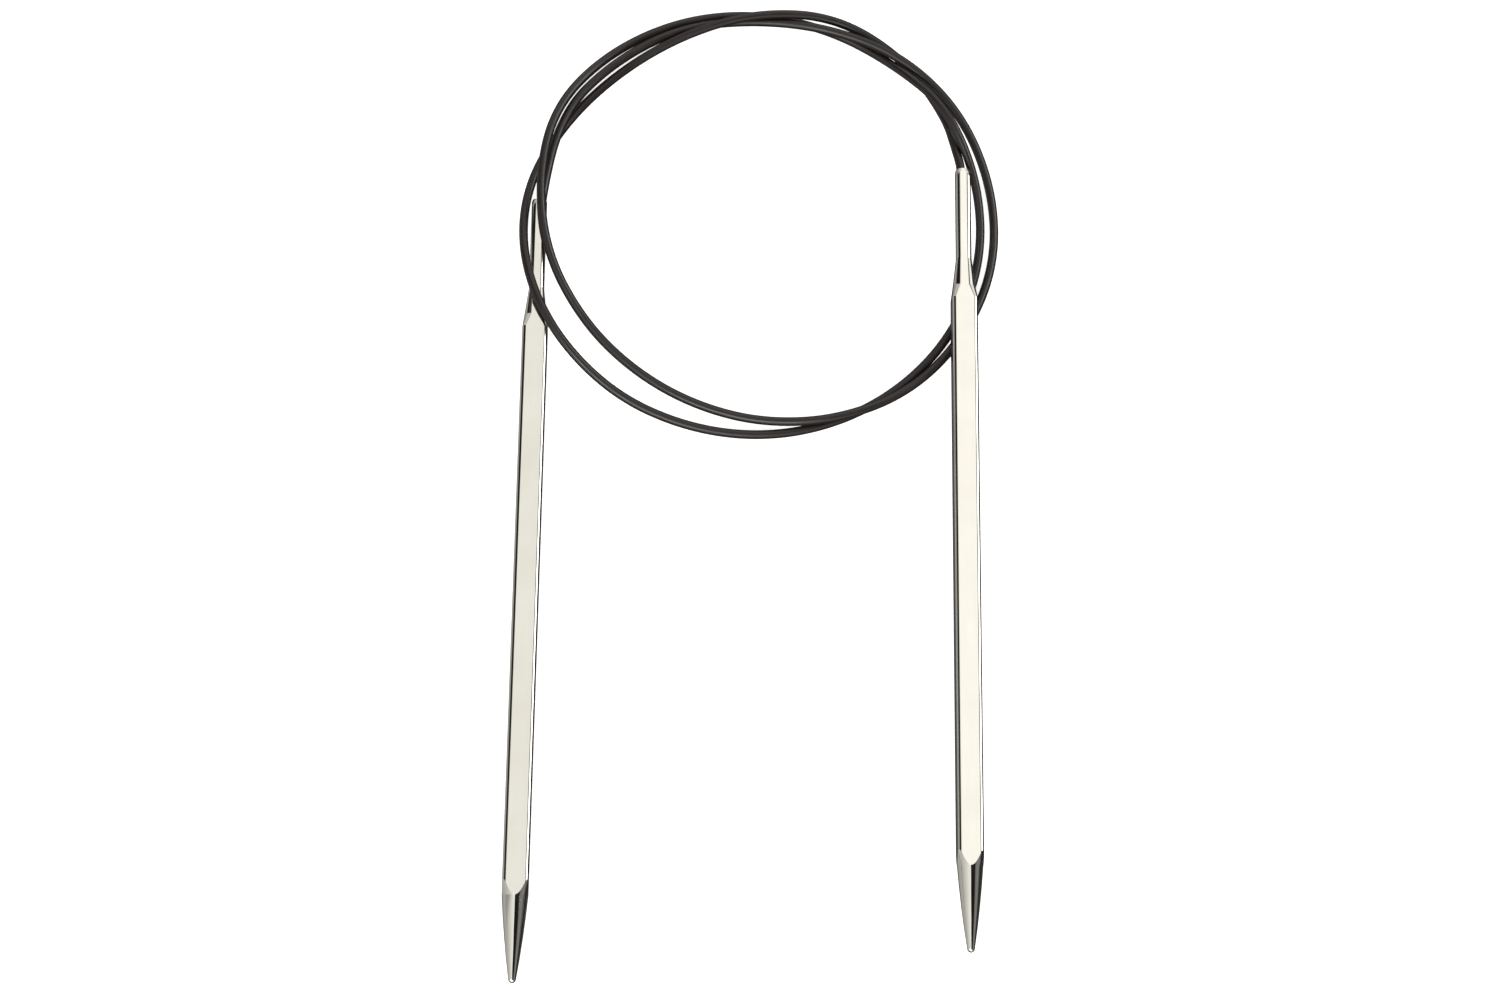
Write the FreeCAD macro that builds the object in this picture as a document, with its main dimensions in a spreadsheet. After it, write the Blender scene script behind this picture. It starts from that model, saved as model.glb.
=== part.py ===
import FreeCAD, Part

import math
import os

import Sketcher

# Circular knitting needle, laid down in a loose coil.
#
# Two hollow metal needles, each with a squared shank, a round point and a thin squared neck, sit on
# the ends of one nylon cable. The cable turns freely in each neck: a crimped ferrule on its end is
# caught behind the neck's inner shoulder. The left needle lies flat on the table with two strands
# over its neck. The right needle lies across two strands, so its mouth stands above the table.
#
# Frame, in millimetres: +Z up, the table at Z = 0, the points towards -Y. The origin is under the
# middle of the two needles.

Vector = FreeCAD.Vector

# ---------------------------------------------------------------- driving sizes

SIZES = {   # a text that starts with = follows the sizes that it names
    # needle, measured from the nose of the point along its own axis
    "needle_length": 124.0,
    "shank_width": 4.0,        # across the flats
    "shank_corner": 0.6,       # radius of the shank's long corners
    "tube_wall": 0.4,
    "nose_radius": 0.6,
    "point_length": 13.0,      # from the nose to the end of each flat
    "point_curve": 170.0,      # radius of the point's gently bulging side
    "corner_fade": 2.3,        # length in which the corners rise out of the round point
    "shoulder_length": 6.6,
    "shoulder_bend": 2.1,      # from the shank's end to where the shoulder's flats are narrowest
    "shoulder_corner": 1.15,   # corner radius there
    "neck_length": 14.9,
    "neck_wall": 0.3,          # from the bore to the flats
    "neck_width": "=neck_bore + 2 * neck_wall",
    "neck_corner": 0.7,
    "neck_bore": "=cable_diameter + 2 * bore_clearance",
    "bore_clearance": 0.2,     # round the cable
    "mouth_flare": 0.1,        # the bore opens by this all round at the mouth
    "mouth_bore": "=neck_bore + 2 * mouth_flare",
    "mouth_depth": 2.0,        # length of that opening
    "mouth_rounding": 1.6,     # length in which the neck's outside rounds over
    "mouth_rim": 0.08,         # flat ring left round the opening
    # plug in the nose
    "plug_diameter": 0.7,
    "plug_length": 2.4,
    # cable and the ferrules on its ends
    "cable_diameter": 1.4,
    "ferrule_lip": 0.4,         # how far the ferrule stands out past the neck's bore
    "ferrule_diameter": "=neck_bore + 2 * ferrule_lip",
    "ferrule_length": 5.0,
    "ferrule_chamfer": 0.3,
    "ferrule_clearance": 0.15,  # between the ferrule and the shoulder's inside
    "stub_depth": 7.0,          # how far inside the mouth the straight stub ends
    "bend_depth": 0.6,          # how far inside the mouth the cable starts to lean
    # where the needles lie
    "left_tip_x": -35.45,
    "left_tip_y": -64.05,
    "left_heading": 1.8,        # degrees, clockwise from +Y
    "right_tip_x": 33.25,
    "right_tip_y": -59.9,
    "right_heading": 1.0,
    "right_rise": 1.8,          # degrees, from the point up to the mouth
}

# ---------------------------------------------------------------- the cable's route

# The free cable leaves the right mouth, drops to the table and runs anticlockwise round the coil,
# then ends in the left mouth. Its first two points are the bends beside the right mouth. The rest
# stand every 20 degrees round the coil's centre, and each has its own radius and height: low where
# the strand lies on the table, high where it passes over a strand or a needle.
COIL_CENTRE = (3.4, 56.4)
COIL_START_ANGLE = 50
COIL_STEP_ANGLE = 20
RIGHT_BENDS = [(34.45, 68.3, 4.5), (33.2, 74.3, 2.7)]
COIL_POINTS = [  # (radius, height)
    (37.1, 0.75), (37.8, 1.5), (35.3, 3.6), (34.0, 2.6), (34.2, 0.9), (35.4, 0.7),
    (37.6, 1.3), (38.4, 4.2), (38.3, 5.1), (37.0, 1.6), (35.8, 0.7), (35.3, 0.7),
    (35.0, 0.7), (35.0, 0.7), (35.3, 0.7), (35.6, 1.5), (35.2, 3.7), (34.4, 7.6),
    (34.9, 2.0), (35.6, 0.7), (36.4, 0.7), (37.2, 0.7), (37.8, 0.9), (37.6, 3.7),
    (35.7, 5.2), (34.4, 4.0), (32.6, 1.4), (31.7, 0.7), (31.9, 0.7), (33.1, 1.2),
    (35.0, 2.7), (36.3, 1.5), (37.1, 0.7), (37.9, 0.7), (37.8, 0.9), (37.3, 2.7),
    (36.3, 3.4), (35.1, 2.5), (34.8, 1.7), (35.7, 1.5), (35.8, 1.8), (36.4, 2.5),
]
ARC_SHARE = 0.45   # share of the shorter run that each arc takes up

# ---------------------------------------------------------------- document and sheet

doc = FreeCAD.newDocument("CircularNeedle")
sheet = doc.addObject("Spreadsheet::Sheet", "sizes")
sheet.Label = "sizes"
for row, (alias, value) in enumerate(SIZES.items(), start=1):
    sheet.set("A%d" % row, alias)
    sheet.set("B%d" % row, str(value))
    sheet.setAlias("B%d" % row, alias)
doc.recompute()


def size(alias):
    """The number in the sheet's cell of that name."""
    return float(getattr(sheet, alias))


# Derived places and sizes, as expressions on the sheet. Places are distances from the nose.
SHANK_END = "(sizes.needle_length - sizes.neck_length - sizes.shoulder_length)"
NECK_START = "(sizes.needle_length - sizes.neck_length)"
CAVITY_WIDTH = "(sizes.shank_width - 2 * sizes.tube_wall)"
CAVITY_START = "(sizes.point_length + sizes.corner_fade)"
CORNER_REACH = "((sizes.shank_width / 2 - sizes.shank_corner) * sqrt(2) + sizes.shank_corner)"
NECK_REACH = "((sizes.neck_width / 2 - sizes.neck_corner) * sqrt(2) + sizes.neck_corner)"
MOUTH_EDGE = "(sizes.mouth_bore / 2 + sizes.mouth_rim)"
BEND_WIDTH = (
    "(sizes.shank_width - (sizes.shank_width - sizes.neck_width)"
    " * sizes.shoulder_bend / sizes.shoulder_length)"
)
SPARE = 1.0        # how far a cutting profile stands clear of the metal
FERRULE_SEAT = (
    "(%s + sizes.shoulder_length * (%s / 2 - sizes.ferrule_diameter / 2"
    " - sizes.ferrule_clearance) / (%s / 2 - sizes.neck_bore / 2))"
    % (SHANK_END, CAVITY_WIDTH, CAVITY_WIDTH)
)


def value_of(expression):
    """The value of an expression, or of a plain number."""
    return float(sheet.evalExpression(str(expression)))


# ---------------------------------------------------------------- sketches

def new_body(label):
    body = doc.addObject("PartDesign::Body", label)
    body.Label = label
    return body


def origin_plane(body, role):
    return next(item for item in body.Origin.OriginFeatures if item.Role == role)


def new_sketch(body, name, plane, offset="0"):
    """A sketch on one of the body's own planes, moved along the plane's normal."""
    sketch = body.newObject("Sketcher::SketchObject", "%s_%s" % (body.Label, name))
    sketch.AttachmentSupport = [(origin_plane(body, plane), "")]
    sketch.MapMode = "FlatFace"
    sketch.setExpression(".AttachmentOffset.Base.z", offset)
    return sketch


def bind(sketch, constraint, expression):
    """Adds a dimension and ties it to the sheet."""
    index = sketch.addConstraint(constraint)
    sketch.setExpression("Constraints[%d]" % index, str(expression))


def place_vertex(sketch, geometry, end, across, along):
    """Ties one vertex to its two distances from the sketch's origin."""
    for kind, expression in (("DistanceX", across), ("DistanceY", along)):
        number = value_of(expression)
        if abs(number) < 1e-9 and str(expression) == "0":
            axis = -2 if kind == "DistanceX" else -1
            sketch.addConstraint(Sketcher.Constraint("PointOnObject", geometry, end, axis))
        else:
            bind(sketch, Sketcher.Constraint(kind, -1, 1, geometry, end, number), expression)


def rounded_square(sketch, width, corner):
    """A square with rounded corners, centred on the sketch's origin."""
    half, radius = value_of(width) / 2, value_of(corner)
    inner = half - radius
    ends = [(-inner, -half), (inner, -half), (half, -inner), (half, inner),
            (inner, half), (-inner, half), (-half, inner), (-half, -inner)]
    for side in range(4):
        start, end = ends[2 * side], ends[2 * side + 1]
        sketch.addGeometry(Part.LineSegment(Vector(*start, 0), Vector(*end, 0)))
    centres = [(inner, -inner), (inner, inner), (-inner, inner), (-inner, -inner)]
    for turn, centre in enumerate(centres):
        circle = Part.Circle(Vector(*centre, 0), Vector(0, 0, 1), radius)
        first = math.radians(90 * turn - 90)
        sketch.addGeometry(Part.ArcOfCircle(circle, first, first + math.pi / 2))
    for side in range(4):
        arc = 4 + side
        sketch.addConstraint(Sketcher.Constraint("Tangent", side, 2, arc, 1))
        sketch.addConstraint(Sketcher.Constraint("Tangent", arc, 2, (side + 1) % 4, 1))
        direction = "Horizontal" if side % 2 == 0 else "Vertical"
        sketch.addConstraint(Sketcher.Constraint(direction, side))
    for arc in (5, 6, 7):
        sketch.addConstraint(Sketcher.Constraint("Equal", 4, arc))
    sketch.addConstraint(Sketcher.Constraint("Symmetric", 4, 3, 6, 3, -1, 1))
    bind(sketch, Sketcher.Constraint("Radius", 4, radius), corner)
    spread = "%s - 2 * %s" % (width, corner)
    bind(sketch, Sketcher.Constraint("DistanceX", 7, 3, 4, 3, 2 * inner), spread)
    bind(sketch, Sketcher.Constraint("DistanceY", 4, 3, 5, 3, 2 * inner), spread)


def outline(sketch, corners):
    """A closed outline of straight lines through corners given as (across, along)."""
    places = [Vector(value_of(across), value_of(along), 0) for across, along in corners]
    count = len(places)
    for index in range(count):
        sketch.addGeometry(Part.LineSegment(places[index], places[(index + 1) % count]))
    for index in range(count):
        sketch.addConstraint(Sketcher.Constraint("Coincident", index, 2, (index + 1) % count, 1))
    for index, (across, along) in enumerate(corners):
        place_vertex(sketch, index, 1, across, along)


def revolve(body, kind, name, sketch):
    """Turns a sketch about the body's long axis, to add metal or to cut it."""
    feature = body.newObject("PartDesign::" + kind, "%s_%s" % (body.Label, name))
    feature.Profile = sketch
    feature.ReferenceAxis = (sketch, ["V_Axis"])
    feature.Angle = 360.0
    return feature


# ---------------------------------------------------------------- needle tube

def point_outline(sketch):
    """What is cut away round the point: the outside of a round nose, of a long bulging side that
    reaches the flats, and of a short cone that lets the corners rise out of it."""
    nose, half = size("nose_radius"), size("shank_width") / 2
    length, curve = size("point_length"), size("point_curve")
    # centre of the side's circle: its distance is curve from the flat's end, curve - nose from
    # the nose's centre, so the two arcs are tangent where they meet
    nose_centre, flat_end = Vector(0, nose, 0), Vector(half, length, 0)
    chord = flat_end - nose_centre
    gap = chord.Length
    along = ((curve - nose) ** 2 - curve ** 2 + gap ** 2) / (2 * gap)
    sideways = math.sqrt((curve - nose) ** 2 - along ** 2)
    chord.normalize()
    side_centre = nose_centre + chord * along + Vector(-chord.y, chord.x, 0) * sideways
    meeting = (nose_centre - side_centre).normalize() * curve + side_centre
    angle = math.atan2(meeting.y - nose, meeting.x)
    sketch.addGeometry(Part.ArcOfCircle(
        Part.Circle(nose_centre, Vector(0, 0, 1), nose), -math.pi / 2, angle))
    start = math.atan2(meeting.y - side_centre.y, meeting.x - side_centre.x)
    end = math.atan2(flat_end.y - side_centre.y, flat_end.x - side_centre.x)
    sketch.addGeometry(Part.ArcOfCircle(
        Part.Circle(side_centre, Vector(0, 0, 1), curve), start, end))
    reach, fade = value_of(CORNER_REACH), size("point_length") + size("corner_fade")
    ring = [flat_end, Vector(reach, fade, 0), Vector(reach + SPARE, fade, 0),
            Vector(reach + SPARE, -SPARE, 0), Vector(0, -SPARE, 0), Vector(0, 0, 0)]
    for first, second in zip(ring, ring[1:]):
        sketch.addGeometry(Part.LineSegment(first, second))
    sketch.addConstraint(Sketcher.Constraint("Tangent", 0, 2, 1, 1))
    for index in range(1, 6):
        sketch.addConstraint(Sketcher.Constraint("Coincident", index, 2, index + 1, 1))
    sketch.addConstraint(Sketcher.Constraint("Coincident", 6, 2, 0, 1))
    place_vertex(sketch, 0, 1, "0", "0")
    sketch.addConstraint(Sketcher.Constraint("PointOnObject", 0, 3, -2))
    bind(sketch, Sketcher.Constraint("Radius", 0, nose), "sizes.nose_radius")
    bind(sketch, Sketcher.Constraint("Radius", 1, curve), "sizes.point_curve")
    place_vertex(sketch, 2, 1, "sizes.shank_width / 2", "sizes.point_length")
    place_vertex(sketch, 3, 1, CORNER_REACH, CAVITY_START)
    place_vertex(sketch, 4, 1, CORNER_REACH + " + %s" % SPARE, CAVITY_START)
    place_vertex(sketch, 5, 1, CORNER_REACH + " + %s" % SPARE, -SPARE)
    place_vertex(sketch, 6, 1, "0", -SPARE)


def bore_outline(sketch):
    """Half of everything hollow and round: nose hole, inside of the point, shank, shoulder and
    neck, and the mouth."""
    outline(sketch, [
        ("0", -SPARE),
        ("sizes.plug_diameter / 2", -SPARE),
        ("sizes.plug_diameter / 2", "sizes.plug_length"),
        (CAVITY_WIDTH + " / 2", CAVITY_START),
        (CAVITY_WIDTH + " / 2", SHANK_END),
        ("sizes.neck_bore / 2", NECK_START),
        ("sizes.neck_bore / 2", "sizes.needle_length - sizes.mouth_depth"),
        ("sizes.mouth_bore / 2", "sizes.needle_length"),
        ("sizes.mouth_bore / 2", "sizes.needle_length + %s" % SPARE),
        ("0", "sizes.needle_length + %s" % SPARE),
    ])


def mouth_outline(sketch):
    """What is cut away round the mouth: the neck's end rounds over in one arc that starts along
    the neck and ends on the rim."""
    last = size("needle_length")
    reach, edge = value_of(NECK_REACH), value_of(MOUTH_EDGE)
    start, end = Vector(reach, last - size("mouth_rounding"), 0), Vector(edge, last, 0)
    drop, rise_up = reach - edge, size("mouth_rounding")
    radius = (drop ** 2 + rise_up ** 2) / (2 * drop)
    centre = start - Vector(radius, 0, 0)
    sketch.addGeometry(Part.ArcOfCircle(
        Part.Circle(centre, Vector(0, 0, 1), radius), 0, math.asin(rise_up / radius)))
    ring = [end, Vector(edge, last + SPARE, 0), Vector(reach + SPARE, last + SPARE, 0),
            Vector(reach + SPARE, start.y, 0), start]
    for first, second in zip(ring, ring[1:]):
        sketch.addGeometry(Part.LineSegment(first, second))
    for index in range(4):
        sketch.addConstraint(Sketcher.Constraint("Coincident", index, 2, index + 1, 1))
    sketch.addConstraint(Sketcher.Constraint("Coincident", 4, 2, 0, 1))
    sketch.addConstraint(Sketcher.Constraint("Horizontal", 0, 3, 0, 1))
    begin, finish = "sizes.needle_length - sizes.mouth_rounding", "sizes.needle_length"
    beyond = "sizes.needle_length + %s" % SPARE
    place_vertex(sketch, 0, 1, NECK_REACH, begin)
    place_vertex(sketch, 1, 1, MOUTH_EDGE, finish)
    place_vertex(sketch, 2, 1, MOUTH_EDGE, beyond)
    place_vertex(sketch, 3, 1, NECK_REACH + " + %s" % SPARE, beyond)
    place_vertex(sketch, 4, 1, NECK_REACH + " + %s" % SPARE, begin)


# ---------------------------------------------------------------- whole needle

def needle_tube(label, placement):
    """The whole needle: squared shank, swaged shoulder and neck, and its point, all one tube."""
    body = new_body(label)

    section = new_sketch(body, "shank_section", "XY_Plane")
    rounded_square(section, "sizes.shank_width", "sizes.shank_corner")
    shank = body.newObject("PartDesign::Pad", label + "_shank")
    shank.Profile = section
    shank.setExpression("Length", SHANK_END)
    doc.recompute()

    root = new_sketch(body, "shoulder_section", "XY_Plane", SHANK_END)
    rounded_square(root, "sizes.shank_width", "sizes.shank_corner")
    bend = new_sketch(body, "shoulder_bend", "XY_Plane", SHANK_END + " + sizes.shoulder_bend")
    rounded_square(bend, BEND_WIDTH, "sizes.shoulder_corner")
    neck_section = new_sketch(body, "neck_section", "XY_Plane", NECK_START)
    rounded_square(neck_section, "sizes.neck_width", "sizes.neck_corner")
    shoulder = body.newObject("PartDesign::AdditiveLoft", label + "_shoulder")
    shoulder.Profile = root
    shoulder.Sections = [bend, neck_section]
    shoulder.Ruled = True
    doc.recompute()

    neck = body.newObject("PartDesign::Pad", label + "_neck")
    neck.Profile = neck_section
    neck.setExpression("Length", "sizes.neck_length")
    doc.recompute()
    solid_volume = neck.Shape.Volume

    cuts = (("point", point_outline), ("mouth", mouth_outline), ("bore", bore_outline))
    for name, draw in cuts:
        profile = new_sketch(body, name + "_outline", "XZ_Plane")
        draw(profile)
        cut = revolve(body, "Groove", name + "_cut", profile)
        doc.recompute()
        if not cut.Shape.Volume < solid_volume - 0.01:
            raise RuntimeError("%s: the %s cut takes nothing away" % (label, name))
        solid_volume = cut.Shape.Volume

    cavity_section = new_sketch(body, "cavity_section", "XY_Plane", CAVITY_START)
    inner_corner = "max(sizes.shank_corner - sizes.tube_wall; 0.1)"
    rounded_square(cavity_section, CAVITY_WIDTH, inner_corner)
    cavity = body.newObject("PartDesign::Pocket", label + "_cavity")
    cavity.Profile = cavity_section
    cavity.Reversed = True
    cavity.setExpression("Length", "%s - %s" % (SHANK_END, CAVITY_START))
    doc.recompute()
    if not cavity.Shape.Volume < solid_volume - 0.01:
        raise RuntimeError("%s: the cavity takes nothing away" % label)

    body.Tip = cavity
    body.Placement = placement
    return body


# ---------------------------------------------------------------- small turned pieces

def nose_plug(label, placement):
    """The pin that closes the hole in the nose. Its outer end follows the nose's sphere."""
    body = new_body(label)
    sketch = new_sketch(body, "outline", "XZ_Plane")
    nose, radius, length = size("nose_radius"), size("plug_diameter") / 2, size("plug_length")
    rim = nose - math.sqrt(nose ** 2 - radius ** 2)
    end = math.atan2(rim - nose, radius)
    sketch.addGeometry(Part.ArcOfCircle(
        Part.Circle(Vector(0, nose, 0), Vector(0, 0, 1), nose), -math.pi / 2, end))
    corners = [Vector(radius, rim, 0), Vector(radius, length, 0), Vector(0, length, 0),
               Vector(0, 0, 0)]
    for first, second in zip(corners, corners[1:]):
        sketch.addGeometry(Part.LineSegment(first, second))
    for index in range(3):
        sketch.addConstraint(Sketcher.Constraint("Coincident", index, 2, index + 1, 1))
    sketch.addConstraint(Sketcher.Constraint("Coincident", 3, 2, 0, 1))
    place_vertex(sketch, 0, 1, "0", "0")
    sketch.addConstraint(Sketcher.Constraint("PointOnObject", 0, 3, -2))
    bind(sketch, Sketcher.Constraint("Radius", 0, nose), "sizes.nose_radius")
    sketch.addConstraint(Sketcher.Constraint("Vertical", 1))
    place_vertex(sketch, 2, 1, "sizes.plug_diameter / 2", "sizes.plug_length")
    place_vertex(sketch, 3, 1, "0", "sizes.plug_length")
    body.Tip = revolve(body, "Revolution", "pin", sketch)
    body.Placement = placement
    return body


def ferrule(label, placement):
    """The sleeve crimped on the cable's end, too wide to leave through the neck."""
    body = new_body(label)
    sketch = new_sketch(body, "outline", "XZ_Plane")
    outer, bevel = "sizes.ferrule_diameter / 2", "sizes.ferrule_chamfer"
    first = "%s - sizes.ferrule_length" % FERRULE_SEAT
    outline(sketch, [
        ("sizes.cable_diameter / 2", first),
        ("%s - %s" % (outer, bevel), first),
        (outer, "%s + %s" % (first, bevel)),
        (outer, "%s - %s" % (FERRULE_SEAT, bevel)),
        ("%s - %s" % (outer, bevel), FERRULE_SEAT),
        ("sizes.cable_diameter / 2", FERRULE_SEAT),
    ])
    body.Tip = revolve(body, "Revolution", "sleeve", sketch)
    body.Placement = placement
    return body


def cable_stub(label, placement):
    """The cable's straight end inside the needle, from the ferrule's far face."""
    stub = doc.addObject("Part::Cylinder", label)
    stub.Label = label
    stub.setExpression("Radius", "sizes.cable_diameter / 2")
    first = "%s - sizes.ferrule_length" % FERRULE_SEAT
    stub.setExpression("Height", "sizes.needle_length - sizes.stub_depth - (%s)" % first)
    along = placement.Rotation.multVec(Vector(0, 0, value_of(first)))
    stub.Placement = FreeCAD.Placement(placement.Base + along, placement.Rotation)
    return stub


# ---------------------------------------------------------------- cable

def polar_point(angle, radius, height):
    """A route point at an angle and radius round the coil's centre."""
    turn = math.radians(angle)
    return Vector(COIL_CENTRE[0] + radius * math.cos(turn),
                  COIL_CENTRE[1] + radius * math.sin(turn), height)


def cable_route(left, right):
    """All the cable's route points, from inside the right mouth to inside the left one."""
    def on_axis(placement, depth):
        return placement.multVec(Vector(0, 0, size("needle_length") - depth))

    points = [on_axis(right, size("stub_depth")), on_axis(right, size("bend_depth"))]
    points += [Vector(*bend) for bend in RIGHT_BENDS]
    for index, (radius, height) in enumerate(COIL_POINTS):
        angle = COIL_START_ANGLE + COIL_STEP_ANGLE * index
        points.append(polar_point(angle, radius, height))
    points += [on_axis(left, size("bend_depth")), on_axis(left, size("stub_depth"))]
    return points


def rounded_corner(points, index):
    """Start, middle and end of the arc that rounds one route point, and its radius."""
    corner = points[index]
    back, ahead = points[index - 1] - corner, points[index + 1] - corner
    reach = ARC_SHARE * min(back.Length, ahead.Length)
    back.normalize()
    ahead.normalize()
    turn = math.pi - back.getAngle(ahead)
    radius = reach / math.tan(turn / 2)
    bisector = (back + ahead).normalize()
    middle = corner + bisector * (radius / math.cos(turn / 2) - radius)
    return corner + back * reach, middle, corner + ahead * reach, radius


def cable_tube(label, points, first, last):
    """A tube round route points first to last. It starts and ends in the middle of a run, or at
    the route's own end, so that the next piece of cable meets it face to face."""
    start = points[0] if first == 1 else (points[first - 1] + points[first]) / 2
    final = points[-1] if last == len(points) - 2 else (points[last] + points[last + 1]) / 2
    edges, here, radii = [], start, []
    for index in range(first, last + 1):
        arc_start, arc_middle, arc_end, radius = rounded_corner(points, index)
        edges.append(Part.LineSegment(here, arc_start).toShape())
        edges.append(Part.Arc(arc_start, arc_middle, arc_end).toShape())
        radii.append(radius)
        here = arc_end
    edges.append(Part.LineSegment(here, final).toShape())
    path = Part.Wire(edges)
    radius = size("cable_diameter") / 2
    ring = Part.Wire([Part.Circle(start, edges[0].tangentAt(0), radius).toShape()])
    tube = path.makePipeShell([ring], True, False)
    expected = math.pi * radius ** 2 * path.Length
    if abs(tube.Volume / expected - 1) > 0.005:
        raise RuntimeError("%s: volume %.2f, not %.2f" % (label, tube.Volume, expected))
    print("%s: length %.1f, radii %.1f to %.1f, volume %.2f of %.2f"
          % (label, path.Length, min(radii), max(radii), tube.Volume, expected))
    feature = doc.addObject("Part::Feature", label)
    feature.Label = label
    feature.Shape = tube
    feature.Placement = FreeCAD.Placement()
    return feature


# ---------------------------------------------------------------- assembly

def needle_placement(side, tip_height, rise):
    """Puts a needle's nose at its place, with its axis at its heading and slope."""
    tip = Vector(size(side + "_tip_x"), size(side + "_tip_y"), tip_height)
    lay_down = FreeCAD.Rotation(Vector(1, 0, 0), rise - 90)
    heading = FreeCAD.Rotation(Vector(0, 0, 1), -size(side + "_heading"))
    return FreeCAD.Placement(tip, heading * lay_down)


half_width = size("shank_width") / 2
rise = math.radians(size("right_rise"))
right_tip_height = half_width * math.cos(rise) - size("point_length") * math.sin(rise)
placements = {
    "left": needle_placement("left", half_width, 0),
    "right": needle_placement("right", right_tip_height, size("right_rise")),
}

pieces = []
for side, placement in placements.items():
    pieces.append(needle_tube(side + "_needle_tube", placement))
    pieces.append(nose_plug(side + "_nose_plug", placement))
    pieces.append(ferrule(side + "_ferrule", placement))
    pieces.append(cable_stub(side + "_cable_stub", placement))

route = cable_route(placements["left"], placements["right"])
LAST_BEND = len(route) - 2
pieces.append(cable_tube("right_flex_inner", route, 1, 2))
pieces.append(cable_tube("right_flex_outer", route, 3, 3))
pieces.append(cable_tube("cable_loops", route, 4, LAST_BEND))
doc.recompute()

# ---------------------------------------------------------------- checks and files

for item in doc.Objects:
    if "Invalid" in item.State or "Error" in item.State:
        raise RuntimeError("%s failed: %s" % (item.Label, item.State))
    if item.isDerivedFrom("Sketcher::SketchObject") and not item.FullyConstrained:
        raise RuntimeError("%s is not fully constrained" % item.Label)
for piece in pieces:
    shape = piece.Shape
    if shape.isNull() or not shape.isValid() or len(shape.Solids) != 1:
        raise RuntimeError("%s is not one valid solid" % piece.Label)

os.makedirs("parts", exist_ok=True)
for piece in pieces:
    piece.Shape.exportStep("parts/%s.step" % piece.Label)
    box = piece.Shape.BoundBox
    print("%-18s volume %8.2f  x %6.2f..%6.2f  y %6.2f..%6.2f  z %5.2f..%5.2f" % (
        piece.Label, piece.Shape.Volume, box.XMin, box.XMax, box.YMin, box.YMax, box.ZMin, box.ZMax))
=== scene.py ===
import logging
import math
from dataclasses import dataclass, field
from enum import Enum

import bpy
import numpy as np
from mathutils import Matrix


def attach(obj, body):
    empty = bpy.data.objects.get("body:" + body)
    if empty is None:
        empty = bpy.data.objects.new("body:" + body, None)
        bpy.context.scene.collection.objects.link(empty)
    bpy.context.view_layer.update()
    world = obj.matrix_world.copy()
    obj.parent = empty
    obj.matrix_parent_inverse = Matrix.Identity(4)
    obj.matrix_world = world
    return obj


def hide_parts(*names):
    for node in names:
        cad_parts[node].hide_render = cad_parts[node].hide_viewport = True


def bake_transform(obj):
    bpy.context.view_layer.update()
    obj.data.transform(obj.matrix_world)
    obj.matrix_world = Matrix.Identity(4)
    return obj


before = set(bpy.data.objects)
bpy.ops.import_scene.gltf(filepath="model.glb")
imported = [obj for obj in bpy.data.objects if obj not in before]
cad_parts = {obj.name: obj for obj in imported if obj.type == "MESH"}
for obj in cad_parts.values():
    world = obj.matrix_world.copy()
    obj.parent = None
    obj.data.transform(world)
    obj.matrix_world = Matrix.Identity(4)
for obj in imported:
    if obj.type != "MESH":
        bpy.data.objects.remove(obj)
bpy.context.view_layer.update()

# A circular knitting needle: two squared metal needles on the ends of one nylon cable, which lies
# in a loose coil on a pale table. The imported needles keep their own meshes and get a polished
# nickel finish. The cable is modelled again on a smooth line, in one long piece and two short ones
# shaped to its bends where the right needle sits swung round and lifted. All lengths are in metres.

LOG = logging.getLogger("circular_needle")
MM = 0.001


class Body(str, Enum):
    """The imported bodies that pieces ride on."""

    CABLE = "cable"
    LEFT_NEEDLE = "left_needle"
    RIGHT_FLEX = "right_flex"
    RIGHT_ANCHOR = "right_anchor"
    RIGHT_NEEDLE = "right_needle"


# ---------------------------------------------------------------- colour and node helpers


def linear(hex_colour: str) -> tuple[float, float, float, float]:
    """Turns an sRGB hex colour into linear light.

    Args:
        hex_colour: six hex digits, such as "d8d4c9".

    Returns:
        Linear red, green, blue and an alpha of one.
    """
    channels = [int(hex_colour[i : i + 2], 16) / 255 for i in (0, 2, 4)]
    red, green, blue = (c / 12.92 if c <= 0.04045 else ((c + 0.055) / 1.055) ** 2.4 for c in channels)
    return red, green, blue, 1.0


def add_node(
    tree: bpy.types.NodeTree,
    kind: str,
    settings: dict[str, object] | None = None,
    inputs: dict[str | int, object] | None = None,
) -> bpy.types.Node:
    """Adds one node with its settings, socket values and links.

    Args:
        tree: the node tree.
        kind: the node's type name.
        settings: properties of the node itself.
        inputs: a value, or an output socket to link, for each input by name or number.

    Returns:
        The new node.
    """
    node = tree.nodes.new(kind)
    for name, value in (settings or {}).items():
        setattr(node, name, value)
    for name, value in (inputs or {}).items():
        socket = node.inputs[name]
        if isinstance(value, bpy.types.NodeSocket):
            tree.links.new(value, socket)
        else:
            socket.default_value = value
    return node


def set_ramp(node: bpy.types.Node, stops: list[tuple[float, tuple[float, float, float, float]]]) -> None:
    """Sets a colour ramp's stops.

    Args:
        node: the ramp node.
        stops: position and linear colour of each stop, in order.
    """
    elements = node.color_ramp.elements
    while len(elements) < len(stops):
        elements.new(0.5)
    for element, (position, colour) in zip(elements, stops):
        element.position = position
        element.color = colour


def grey(level: float) -> tuple[float, float, float, float]:
    """A linear grey with an alpha of one."""
    return level, level, level, 1.0


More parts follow.
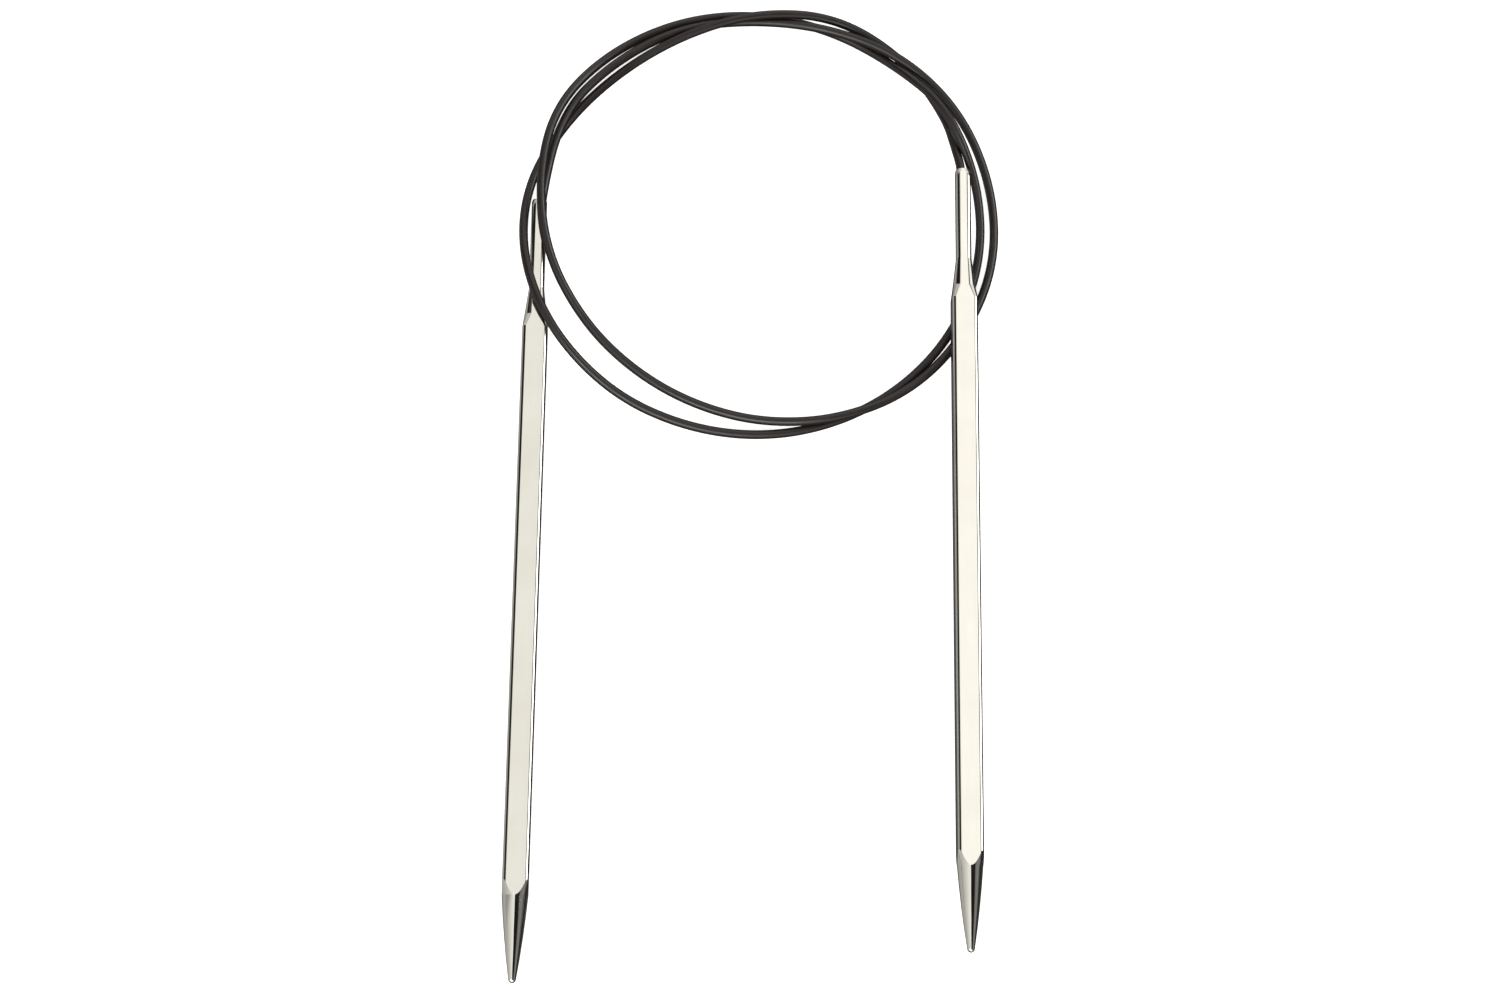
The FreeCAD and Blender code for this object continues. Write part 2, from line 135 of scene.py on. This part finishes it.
def new_material(name: str) -> tuple[bpy.types.Material, bpy.types.NodeTree, bpy.types.Node]:
    """Starts a material.

    Args:
        name: the real material, with its finish.

    Returns:
        The material, its node tree and its shader.
    """
    material = bpy.data.materials.new(name)
    material.use_nodes = True
    return material, material.node_tree, material.node_tree.nodes["Principled BSDF"]


def noise(
    tree: bpy.types.NodeTree, place: bpy.types.NodeSocket, scale: float, detail: float
) -> bpy.types.NodeSocket:
    """Adds a noise pattern.

    Args:
        tree: the node tree.
        place: the coordinates that the pattern reads.
        scale: patches for each unit of those coordinates.
        detail: how many finer layers it has.

    Returns:
        Its strength, from 0 to 1.
    """
    values = {"Vector": place, "Scale": scale, "Detail": detail}
    return add_node(tree, "ShaderNodeTexNoise", inputs=values).outputs["Fac"]


def stretched(
    tree: bpy.types.NodeTree, place: bpy.types.NodeSocket, sizes: tuple[float, float, float]
) -> bpy.types.NodeSocket:
    """Scales coordinates so that one unit spans the given size on each axis.

    Args:
        tree: the node tree.
        place: the coordinates.
        sizes: size of one unit along each axis.

    Returns:
        The scaled coordinates.
    """
    values = {"Vector": place, "Scale": tuple(1 / size for size in sizes)}
    return add_node(tree, "ShaderNodeMapping", inputs=values).outputs["Vector"]


def remap(
    tree: bpy.types.NodeTree,
    value: bpy.types.NodeSocket,
    source: tuple[float, float],
    target: tuple[float, float] = (0.0, 1.0),
) -> bpy.types.NodeSocket:
    """Carries one range of values over to another, and holds the result within it.

    Args:
        tree: the node tree.
        value: the value.
        source: its lowest and highest value.
        target: what they become.

    Returns:
        The new value.
    """
    names = ("From Min", "From Max", "To Min", "To Max")
    values = {"Value": value, **dict(zip(names, source + target))}
    return add_node(tree, "ShaderNodeMapRange", inputs=values).outputs["Result"]


def mixed(
    tree: bpy.types.NodeTree, share: bpy.types.NodeSocket, first: object, second: object
) -> bpy.types.NodeSocket:
    """Blends two colours. The Mix node has several sockets of one name, so they go by number.

    Args:
        tree: the node tree.
        share: how much of the second colour shows, from 0 to 1.
        first: a colour, or a socket to link.
        second: a colour, or a socket to link.

    Returns:
        The blended colour.
    """
    return add_node(
        tree, "ShaderNodeMix", {"data_type": "RGBA"}, {0: share, 6: first, 7: second}
    ).outputs[2]


def add_bump(
    tree: bpy.types.NodeTree,
    shader: bpy.types.Node,
    height: bpy.types.NodeSocket,
    strength: float,
    distance: float,
) -> None:
    """Lets a pattern stand out of a surface.

    Args:
        tree: the node tree.
        shader: the surface's shader.
        height: the pattern.
        strength: how much of it shows.
        distance: height between its lowest and highest values.
    """
    values = {"Height": height, "Strength": strength, "Distance": distance}
    bump = add_node(tree, "ShaderNodeBump", inputs=values)
    tree.links.new(bump.outputs["Normal"], shader.inputs["Normal"])


# ---------------------------------------------------------------- finishes


@dataclass(frozen=True)
class PolishedNickel:
    """Bright nickel plated on brass tube, polished along its length.

    The polish leaves faint lengthwise hairlines, and handling leaves soft smears a few millimetres
    across. They show as small changes in the gloss, and the smears also dull the colour a little.
    """

    name: str = "polished_nickel_plate"
    colour: str = "f5f2e8"
    dull: str = "e6e2d4"
    gloss: tuple[float, float] = (0.049, 0.112)   # roughness where clean, and where smeared
    gloss_span: tuple[float, float] = (0.12, 0.40)
    hairline: float = 0.35 * MM   # real hairlines are finer; this is the finest that shows
    hairline_length: float = 18 * MM
    hairline_strength: float = 0.025
    hairline_depth: float = 0.01 * MM
    smear: float = 7 * MM

    def build(self) -> bpy.types.Material:
        """Makes the material."""
        material, tree, shader = new_material(self.name)
        shader.inputs["Metallic"].default_value = 1.0
        place = add_node(tree, "ShaderNodeTexCoord").outputs["Object"]
        smears = noise(tree, place, 1 / self.smear, 3.0)
        plating = mixed(tree, smears, linear(self.dull), linear(self.colour))
        tree.links.new(plating, shader.inputs["Base Color"])

        along = stretched(tree, place, (self.hairline, self.hairline_length, self.hairline))
        hairlines = noise(tree, along, 1.0, 2.0)
        both = add_node(tree, "ShaderNodeMath", {"operation": "MULTIPLY"}, {0: hairlines, 1: smears})
        gloss = remap(tree, both.outputs["Value"], self.gloss_span, self.gloss)
        tree.links.new(gloss, shader.inputs["Roughness"])
        add_bump(tree, shader, hairlines, self.hairline_strength, self.hairline_depth)
        return material


@dataclass(frozen=True)
class CrimpedSteel:
    """Bare drawn steel of the sleeve, dull where the crimping tool pressed it."""

    name: str = "crimped_steel_sleeve"
    colour: str = "b9b6b0"
    gloss: tuple[float, float] = (0.224, 0.448)
    gloss_span: tuple[float, float] = (0.3, 0.7)
    grain: float = 0.5 * MM

    def build(self) -> bpy.types.Material:
        """Makes the material."""
        material, tree, shader = new_material(self.name)
        shader.inputs["Base Color"].default_value = linear(self.colour)
        shader.inputs["Metallic"].default_value = 1.0
        place = add_node(tree, "ShaderNodeTexCoord").outputs["Object"]
        marks = noise(tree, place, 1 / self.grain, 4.0)
        tree.links.new(remap(tree, marks, self.gloss_span, self.gloss), shader.inputs["Roughness"])
        return material


@dataclass(frozen=True)
class ExtrudedNylon:
    """Charcoal nylon monofilament with a soft, semi-matte skin.

    The die leaves fine lines along the cable, and the skin's gloss changes a little along it. The
    pattern reads the cable's own map, whose first axis is length and second is the way round, both
    in metres.
    """

    name: str = "extruded_charcoal_nylon"
    colour: str = "17110e"
    pale: str = "211914"
    gloss: tuple[float, float] = (0.32, 0.44)
    gloss_span: tuple[float, float] = (0.3, 0.7)
    ior: float = 1.53
    sheen: float = 0.5
    die_line: float = 0.22 * MM   # real die lines are finer; this is the finest that shows
    die_line_length: float = 25 * MM
    die_line_strength: float = 0.12
    die_line_depth: float = 0.02 * MM
    mottle: float = 4 * MM

    def build(self) -> bpy.types.Material:
        """Makes the material."""
        material, tree, shader = new_material(self.name)
        shader.inputs["IOR"].default_value = self.ior
        shader.inputs["Specular IOR Level"].default_value = self.sheen
        place = add_node(tree, "ShaderNodeUVMap", {"uv_map": CABLE_MAP}).outputs["UV"]
        mottling = noise(tree, place, 1 / self.mottle, 3.0)
        tone = mixed(tree, mottling, linear(self.colour), linear(self.pale))
        tree.links.new(tone, shader.inputs["Base Color"])
        tree.links.new(remap(tree, mottling, self.gloss_span, self.gloss), shader.inputs["Roughness"])

        along = stretched(tree, place, (self.die_line_length, self.die_line, 1.0))
        lines = noise(tree, along, 1.0, 3.0)
        add_bump(tree, shader, lines, self.die_line_strength, self.die_line_depth)
        return material


# ---------------------------------------------------------------- the cable

CABLE_MAP = "cable_map"


def smooth_line(points: np.ndarray, resolution: int = 14) -> np.ndarray:
    """The quadratic spline that has the route's points as its control points.

    It starts and ends on the first and last point and touches the middle of every run between.

    Args:
        points: control points, one row each.
        resolution: steps for each control point.

    Returns:
        Points along the spline, one row each.
    """
    curve = bpy.data.curves.new("route", "CURVE")
    curve.dimensions = "3D"
    spline = curve.splines.new("NURBS")
    spline.points.add(len(points) - 1)
    spline.points.foreach_set("co", np.column_stack([points, np.ones(len(points))]).ravel())
    spline.order_u = 3
    spline.use_endpoint_u = True
    spline.resolution_u = resolution
    carrier = bpy.data.objects.new("route", curve)
    mesh = bpy.data.meshes.new_from_object(carrier)
    flat = np.empty(len(mesh.vertices) * 3)
    mesh.vertices.foreach_get("co", flat)
    bpy.data.objects.remove(carrier)
    bpy.data.curves.remove(curve)
    bpy.data.meshes.remove(mesh)
    return flat.reshape(-1, 3)


def swept_tube(name: str, line: np.ndarray, radius: float, sides: int, start: float) -> bpy.types.Object:
    """A closed round tube along a line.

    A surface point is P(s) + r (cos a * S(s) + sin a * U(s)), where P is the line, S is level and
    square to the line, U is square to both, and a runs round from 0 to a full turn. Each end is
    closed by a flat fan.

    Args:
        name: the piece's name.
        line: centre points, one row each. No stretch of it is upright.
        radius: the tube's radius.
        sides: faces round the tube.
        start: length along the cable at the line's first point, for the surface map.

    Returns:
        The tube as a mesh object at the origin.
    """
    steps = np.linalg.norm(np.diff(line, axis=0), axis=1)
    length = start + np.concatenate([[0.0], np.cumsum(steps)])
    ahead = np.gradient(line, length, axis=0)
    ahead /= np.linalg.norm(ahead, axis=1)[:, None]
    level = np.cross(ahead, [0.0, 0.0, 1.0])
    level /= np.linalg.norm(level, axis=1)[:, None]
    upper = np.cross(level, ahead)
    angle = np.arange(sides) * (2 * math.pi / sides)
    rings = line[:, None] + radius * (
        np.cos(angle)[None, :, None] * level[:, None] + np.sin(angle)[None, :, None] * upper[:, None]
    )
    count = len(line)
    vertices = np.vstack([rings.reshape(-1, 3), line[0], line[-1]])

    row, column = np.meshgrid(np.arange(count - 1), np.arange(sides), indexing="ij")
    here = (row * sides + column).ravel()
    beside = (row * sides + (column + 1) % sides).ravel()
    walls = np.column_stack([here, here + sides, beside + sides, beside])
    wall_map = np.stack(
        [
            length[np.stack([row, row + 1, row + 1, row], axis=-1)],
            np.stack([column, column, column + 1, column + 1], axis=-1) * (2 * math.pi * radius / sides),
        ],
        axis=-1,
    )
    side = np.arange(sides)
    first, last = count * sides, count * sides + 1
    end_ring = (count - 1) * sides
    start_cap = np.column_stack([np.full(sides, first), side, (side + 1) % sides])
    end_cap = np.column_stack([np.full(sides, last), end_ring + (side + 1) % sides, end_ring + side])

    mesh = bpy.data.meshes.new(name)
    mesh.from_pydata(vertices.tolist(), [], walls.tolist() + start_cap.tolist() + end_cap.tolist())
    layer = mesh.uv_layers.new(name=CABLE_MAP)
    caps = np.zeros((6 * sides, 2))
    caps[: 3 * sides, 0] = length[0]
    caps[3 * sides :, 0] = length[-1]
    layer.data.foreach_set("uv", np.concatenate([wall_map.reshape(-1), caps.ravel()]))
    smooth = np.zeros(len(walls) + 2 * sides, dtype=bool)
    smooth[: len(walls)] = True
    mesh.polygons.foreach_set("use_smooth", smooth)
    mesh.update()
    mesh.validate()
    piece = bpy.data.objects.new(name, mesh)
    bpy.context.scene.collection.objects.link(piece)
    return piece


def line_length(line: np.ndarray) -> float:
    """The length of a line through points, one row each."""
    return float(np.linalg.norm(np.diff(line, axis=0), axis=1).sum())


@dataclass
class Cable:
    """The nylon cable, from inside the right mouth round the coil to inside the left one."""

    diameter: float = 1.4 * MM
    sides: int = 24
    coil_centre: tuple[float, float] = (0.0034, 0.0564)
    coil_start: float = 50.0
    coil_step: float = 20.0
    # ends of the route, on each needle's axis: 7 mm inside the mouth, then 0.6 mm inside it
    right_end: list[tuple[float, float, float]] = field(
        default_factory=lambda: [(0.035291, 0.057024, 0.005266), (0.035403, 0.06342, 0.005467)]
    )
    right_bends: list[tuple[float, float, float]] = field(
        default_factory=lambda: [(0.03445, 0.0683, 0.0045), (0.0332, 0.0743, 0.0027)]
    )
    left_end: list[tuple[float, float, float]] = field(
        default_factory=lambda: [(-0.031574, 0.059289, 0.002), (-0.031775, 0.052892, 0.002)]
    )
    left_mouth: tuple[float, float, float] = (-0.031555, 0.059889, 0.002)
    # radius and height in millimetres, every 20 degrees round the coil
    coil_points: tuple[tuple[float, float], ...] = (
        (37.1, 0.75), (37.8, 1.5), (35.3, 3.6), (34.0, 2.6), (34.2, 0.9), (35.4, 0.7),
        (37.6, 1.3), (38.4, 4.2), (38.3, 5.1), (37.0, 1.6), (35.8, 0.7), (35.3, 0.7),
        (35.0, 0.7), (35.0, 0.7), (35.3, 0.7), (35.6, 1.5), (35.2, 3.7), (34.4, 7.6),
        (34.9, 2.0), (35.6, 0.7), (36.4, 0.7), (37.2, 0.7), (37.8, 0.9), (37.6, 3.7),
        (35.7, 5.2), (34.4, 4.0), (32.6, 1.4), (31.7, 0.7), (31.9, 0.7), (33.1, 1.2),
        (35.0, 2.7), (36.3, 1.5), (37.1, 0.7), (37.9, 0.7), (37.8, 0.9), (37.3, 2.7),
        (36.3, 3.4), (35.1, 2.5), (34.8, 1.7), (35.7, 1.5), (35.8, 1.8), (36.4, 2.5),
    )

    def route(self) -> np.ndarray:
        """All control points, one row each.

        Returns:
            The right end, the two bends beside it, the coil and the left end. A coil point stands
            at centre + radius (cos a, sin a), with a growing by one step from each to the next.
        """
        radius, height = np.array(self.coil_points).T * MM
        angle = np.radians(self.coil_start + self.coil_step * np.arange(len(radius)))
        coil = np.column_stack(
            [
                self.coil_centre[0] + radius * np.cos(angle),
                self.coil_centre[1] + radius * np.sin(angle),
                height,
            ]
        )
        return np.vstack([self.right_end, self.right_bends, coil, self.left_end])

    def build(self, nylon: bpy.types.Material) -> list[bpy.types.Object]:
        """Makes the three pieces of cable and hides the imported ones.

        The route is cut in the middle of two runs, where its spline touches it, so the pieces
        meet face to face.

        Args:
            nylon: the cable's material.

        Returns:
            The coil, the outer bend and the inner bend.
        """
        route = self.route()
        lift_cut = (route[2] + route[3]) / 2
        swing_cut = (route[3] + route[4]) / 2
        inner_line = smooth_line(np.vstack([route[:3], lift_cut]))
        outer_line = smooth_line(np.vstack([lift_cut, route[3], swing_cut]))
        coil_line = smooth_line(np.vstack([swing_cut, route[4:]]))

        radius = self.diameter / 2
        inner_end = line_length(inner_line)
        outer_end = inner_end + line_length(outer_line)
        inner = swept_tube("right_cable_bend_inner", inner_line, radius, self.sides, 0.0)
        outer = swept_tube("right_cable_bend_outer", outer_line, radius, self.sides, inner_end)
        coil = swept_tube("cable_coil", coil_line, radius, self.sides, outer_end)
        for piece in (inner, outer, coil):
            piece.data.materials.append(nylon)

        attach(coil, Body.CABLE.value)
        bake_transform(outer)
        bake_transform(inner)
        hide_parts("cable_loops")
        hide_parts("right_flex_outer")
        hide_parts("right_flex_inner")
        return [coil, outer, inner]


# ---------------------------------------------------------------- the needles


@dataclass
class Needle:
    """One needle as packed: tube, nose plug, ferrule and the straight end of cable inside it."""

    side: str

    def dress(
        self, nickel: bpy.types.Material, steel: bpy.types.Material, nylon: bpy.types.Material
    ) -> list[bpy.types.Object]:
        """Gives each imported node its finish.

        Args:
            nickel: for the tube and the plug in its nose.
            steel: for the ferrule.
            nylon: for the cable's end.

        Returns:
            The dressed nodes.
        """
        finishes = {"needle_tube": nickel, "nose_plug": nickel, "ferrule": steel, "cable_stub": nylon}
        dressed = []
        for part, material in finishes.items():
            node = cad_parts[f"{self.side}_{part}"]
            node.data.materials.clear()
            node.data.materials.append(material)
            dressed.append(node)
        return dressed


# ---------------------------------------------------------------- the studio


@dataclass(frozen=True)
class Softbox:
    """A square soft lamp that points at the middle of the table."""

    name: str
    place: tuple[float, float, float]
    power: float
    size: float = 0.5

    def build(self) -> None:
        """Hangs the lamp."""
        data = bpy.data.lights.new(self.name, "AREA")
        data.energy = self.power
        data.size = self.size
        lamp = bpy.data.objects.new(self.name, data)
        lamp.location = self.place
        aim = -np.array(self.place) / np.linalg.norm(self.place)
        lamp.rotation_mode = "XYZ"
        lamp.rotation_euler = (0.0, -math.acos(-aim[2]), math.atan2(aim[1], aim[0]))
        lamp.visible_camera = False
        bpy.context.scene.collection.objects.link(lamp)


@dataclass
class Studio:
    """A pale table under a broad overhead light, and the camera above it."""

    camera_place: tuple[float, float, float] = (-0.02775, -0.14036, 0.52851)
    camera_tilt: float = 16.0
    camera_roll: float = -3.01
    lens: float = 85.0
    table_size: float = 6.0
    table_colour: str = "f4f4f2"
    table_roughness: float = 0.9
    table_sheen: float = 0.1
    table_glow: float = 0.75   # keeps shadows on the table faint
    softboxes: tuple[Softbox, ...] = (
        Softbox("front_softbox", (-0.35, -0.75, 0.75), 5.5),
        Softbox("right_softbox", (0.85, 0.25, 0.6), 3.6),
    )
    sky_strength: float = 1.15
    halves_meet: tuple[float, float] = (0.02, 0.07)   # between these Y the sky's halves blend
    walls_start: tuple[float, float] = (0.55, 0.70)   # Y, either way, where the walls take over
    horizon: tuple[float, float] = (-0.02, 0.02)
    # tones of the sky from left, -1, to right, 1: its half towards the cable, the near half, the
    # low walls at either end, and what lies below the horizon
    far_tones: tuple[tuple[float, float], ...] = (
        (-1.0, 0.25), (-0.90, 0.25), (-0.82, 0.01), (-0.20, 0.01), (-0.12, 0.80), (0.03, 0.82),
        (0.09, 1.0), (0.17, 1.0), (0.22, 0.18), (0.42, 0.20), (0.50, 0.95), (0.82, 0.85),
        (0.88, 0.03), (1.0, 0.03),
    )
    near_tones: tuple[tuple[float, float], ...] = (
        (-1.0, 0.42), (-0.85, 0.55), (-0.60, 0.66), (-0.25, 0.78), (-0.02, 0.88), (0.03, 0.01),
        (0.60, 0.01), (0.70, 0.14), (0.95, 0.20), (1.0, 0.05),
    )
    wall_tones: tuple[tuple[float, float], ...] = (
        (-1.0, 0.35), (-0.5, 0.55), (-0.1, 1.0), (0.2, 1.0), (0.6, 0.65), (1.0, 0.35),
    )
    floor_tones: tuple[tuple[float, float], ...] = (
        (-1.0, 0.40), (-0.7, 0.30), (-0.4, 0.08), (0.0, 0.06), (0.6, 0.06), (1.0, 0.02),
    )

    def add_camera(self) -> None:
        """Puts the camera above the table, tilted back and a little to the left."""
        data = bpy.data.cameras.new("camera")
        data.lens = self.lens
        data.clip_start = 0.01
        camera = bpy.data.objects.new("camera", data)
        camera.rotation_mode = "YXZ"
        camera.rotation_euler = (math.radians(self.camera_tilt), math.radians(self.camera_roll), 0.0)
        camera.location = self.camera_place
        bpy.context.scene.collection.objects.link(camera)
        bpy.context.scene.camera = camera

    def add_table(self) -> None:
        """Lays the pale table under the object. The metal mirrors the sky's dark floor instead."""
        half = self.table_size / 2
        corners = [(-half, -half, 0.0), (half, -half, 0.0), (half, half, 0.0), (-half, half, 0.0)]
        mesh = bpy.data.meshes.new("table")
        mesh.from_pydata(corners, [], [(0, 1, 2, 3)])
        material, _, shader = new_material("matte_white_laminate")
        shader.inputs["Base Color"].default_value = linear(self.table_colour)
        shader.inputs["Roughness"].default_value = self.table_roughness
        shader.inputs["Specular IOR Level"].default_value = self.table_sheen
        shader.inputs["Emission Color"].default_value = grey(1.0)
        shader.inputs["Emission Strength"].default_value = self.table_glow
        mesh.materials.append(material)
        table = bpy.data.objects.new("table", mesh)
        table.visible_glossy = False
        bpy.context.scene.collection.objects.link(table)

    def add_sky(self) -> None:
        """Surrounds the scene with a white ceiling, a dark side on the left and dark strips.

        Shanks and necks mirror the half of the sky towards the cable. The points, which slope the
        other way, mirror the near half. Each half has its own row of tones from left to right, and
        the halves blend overhead. The walls beyond them and the floor have a row each.
        """
        world = bpy.data.worlds.new("studio")
        world.use_nodes = True
        bpy.context.scene.world = world
        tree = world.node_tree
        place = add_node(tree, "ShaderNodeTexCoord").outputs["Generated"]
        axes = add_node(tree, "ShaderNodeSeparateXYZ", inputs={"Vector": place}).outputs
        across = remap(tree, axes["X"], (-1.0, 1.0))
        parts = []
        for tones in (self.near_tones, self.far_tones, self.wall_tones, self.floor_tones):
            ramp = add_node(tree, "ShaderNodeValToRGB", inputs={"Fac": across})
            set_ramp(ramp, [((x + 1) / 2, grey(level)) for x, level in tones])
            parts.append(ramp.outputs["Color"])
        near, far, wall, floor = parts
        ceiling = mixed(tree, remap(tree, axes["Y"], self.halves_meet), near, far)
        outward = add_node(tree, "ShaderNodeMath", {"operation": "ABSOLUTE"}, {0: axes["Y"]}).outputs[0]
        upper = mixed(tree, remap(tree, outward, self.walls_start), ceiling, wall)
        sky = mixed(tree, remap(tree, axes["Z"], self.horizon), floor, upper)
        background = tree.nodes["Background"]
        tree.links.new(sky, background.inputs["Color"])
        background.inputs["Strength"].default_value = self.sky_strength

    def build(self) -> None:
        """Sets up camera, table and light."""
        self.add_camera()
        self.add_table()
        self.add_sky()
        for softbox in self.softboxes:
            softbox.build()
        bpy.context.scene.view_settings.view_transform = "Standard"


# ---------------------------------------------------------------- assembly


def main() -> None:
    """Builds the scene, sub-assembly by sub-assembly."""
    logging.basicConfig(level=logging.INFO, format="%(name)s: %(message)s")
    Studio().build()
    nickel = PolishedNickel().build()
    steel = CrimpedSteel().build()
    nylon = ExtrudedNylon().build()
    made = Cable().build(nylon)
    for side in ("left", "right"):
        made += Needle(side).dress(nickel, steel, nylon)
    for piece in made:
        LOG.info("%s: %d faces", piece.name, len(piece.data.polygons))


if __name__ == "__main__":
    main()
